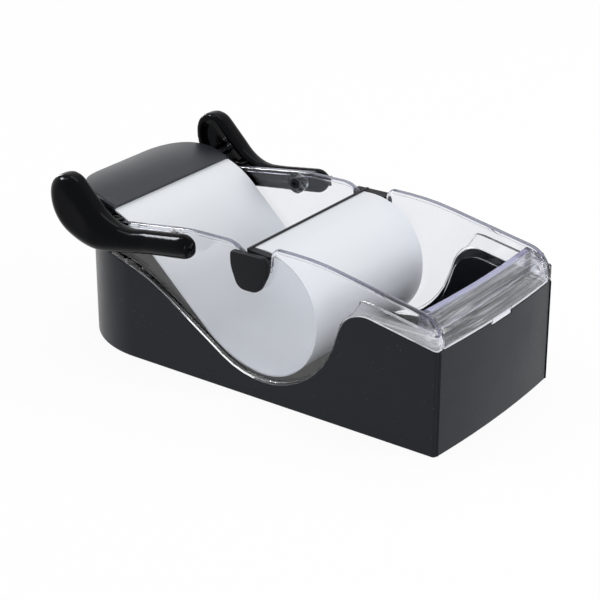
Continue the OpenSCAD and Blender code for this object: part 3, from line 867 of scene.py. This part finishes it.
loop = (hood[0] + 5, hood[1] - loop_radius - loop_flat)
bend = on_arc(loop, loop_radius - bend_radius, bend_end)
low = on_arc(bend, bend_radius, bend_start)
split = (low[0] - straight * math.cos(steep), low[1] + straight * math.sin(steep))
under_cover = (cover_thick + 0.05 + sheet_thick / 2) / math.cos(math.radians(cover_slope))
tip = (cover_front - 6, cover_front_z - under_cover + 6 * slope)
meet_x = low[1] + low[0] * math.tan(steep) - tip[1] - tip[0] * slope
meet_x /= math.tan(steep) - slope
meet = (meet_x, tip[1] - (meet_x - tip[0]) * slope)
rear_line = rounded([(*tip, 0), (*meet, top_round), (*split, 0)], closed=False, step=2)
rear_line += arc(bend, bend_radius, bend_start, bend_end, 18)
rear_line += arc(loop, loop_radius, bend_end + 2, meeting, 14)
front_line = arc(loop, loop_radius, meeting, 360, 35)
front_line += arc((loop[0], loop[1] + loop_flat), loop_radius, 360, 450, 45)
front_line += [(hood[0] - 0.7, hood[1])]


def strip(name, line):
    """A strip that follows a line seen from the side, and its length laid flat."""
    piece = single_point(name, mm(line[0][0], -sheet_half, line[0][1]))
    for _ in range(8):
        bpy.ops.mesh.extrude_vertices_move(
            TRANSFORM_OT_translate={"value": mm(0, sheet_half / 4, 0)})
    bpy.ops.mesh.select_all(action="SELECT")
    for (xa, za), (xb, zb) in zip(line, line[1:]):
        pulled(mm(xb - xa, 0, zb - za))
    tidied(0.000001)
    length = sum(math.dist(a, b) for a, b in zip(line, line[1:]))
    finish_with(piece, "SOLIDIFY", thickness=mm(sheet_thick), offset=0, use_even_offset=True)
    smooth(piece, 30)
    coat(piece, sheet_white)
    return piece, length


rear_sheet, rear_length = strip("sheet_rear", rear_line)
front_sheet, front_length = strip("sheet_front", front_line)
mm(2 * sheet_half)
mm(rear_length)
mm(2 * sheet_half)
mm(front_length)
mm(split[0], 0, split[1])
mm(cover_front + 2, 0, 79)
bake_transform(rear_sheet)
mm(loop[0] + loop_radius, 0, loop[1])
mm(hood[0] + 3, 0, hood[1])
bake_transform(front_sheet)
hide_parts("sheet_slope", "sheet_trough")
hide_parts("sheet_hood")
print("sheet, flat:", round(2 * sheet_half, 1), "x", round(rear_length + front_length, 1), "mm")

# %% [markdown]
# ## Floor, backdrop and lamps
# A white sweep under soft studio light. The world is white where it is seen or
# mirrored and gentler where it only lights. Three large lamps shape the black
# parts, and two narrow ones, seen only in gloss, draw the bright lines on them.

# %% Stage
floor_white, shade_white = 0.92, 0.70  # how white the floor and the lit-only world are
bpy.ops.object.select_all(action="DESELECT")
bpy.ops.mesh.primitive_plane_add(size=8, location=(0, 0, 0))
floor = bpy.context.active_object
floor.name = "floor"
paper = Paint("white_paper")
lit = paper.node("ShaderNodeBsdfDiffuse", None, {"Color": colour(0.92, 0.92, 0.92)})
white = paper.node("ShaderNodeEmission", None, {"Color": colour(1, 1, 1), "Strength": 1.0})
seen = paper.rays("Camera", "Glossy", "Transmission")
coat(floor, paper.finish(paper.mixed(seen * floor_white, lit, white)))

world = bpy.data.worlds.new("studio")
bpy.context.scene.world = world
sky = Paint("studio", world)
seen = sky.rays("Camera", "Glossy", "Transmission")
amount = sky.node("ShaderNodeMapRange", None, {
    "Value": seen, "To Min": shade_white, "To Max": 1.0})
backdrop = sky.node("ShaderNodeBackground", None, {"Color": colour(1, 1, 1), "Strength": amount})
sky.finish(backdrop, "ShaderNodeOutputWorld")


def softbox(name, place, aim, width, height, power):
    data = bpy.data.lights.new(name, "AREA")
    data.shape, data.size, data.size_y, data.energy = "RECTANGLE", width, height, power
    lamp = bpy.data.objects.new(name, data)
    bpy.context.collection.objects.link(lamp)
    lamp.location = place
    lamp.rotation_euler = (Vector(aim) - Vector(place)).to_track_quat("-Z", "Y").to_euler()
    return lamp


middle, near_grip = (0, 0, 0.05), (-0.055, -0.06, 0.08)
softbox("key", (-0.7, -0.5, 1.2), middle, 0.3, 0.7, 3.1)
softbox("right", (1.2, 0.45, 0.48), middle, 0.9, 0.7, 8)
softbox("top", (-0.1, 0.7, 1.3), middle, 1.0, 0.25, 2.3)
rim_light = softbox("rim", (-1.05, -0.50, 0.94), near_grip, 0.3, 0.3, 20)
strip_light = softbox("strip", (-1.3, 0.6, 0.35), near_grip, 0.12, 0.6, 6)
rim_light.visible_diffuse = strip_light.visible_diffuse = False
bpy.context.scene.view_settings.view_transform = "Standard"
print("stage and lamps ready")
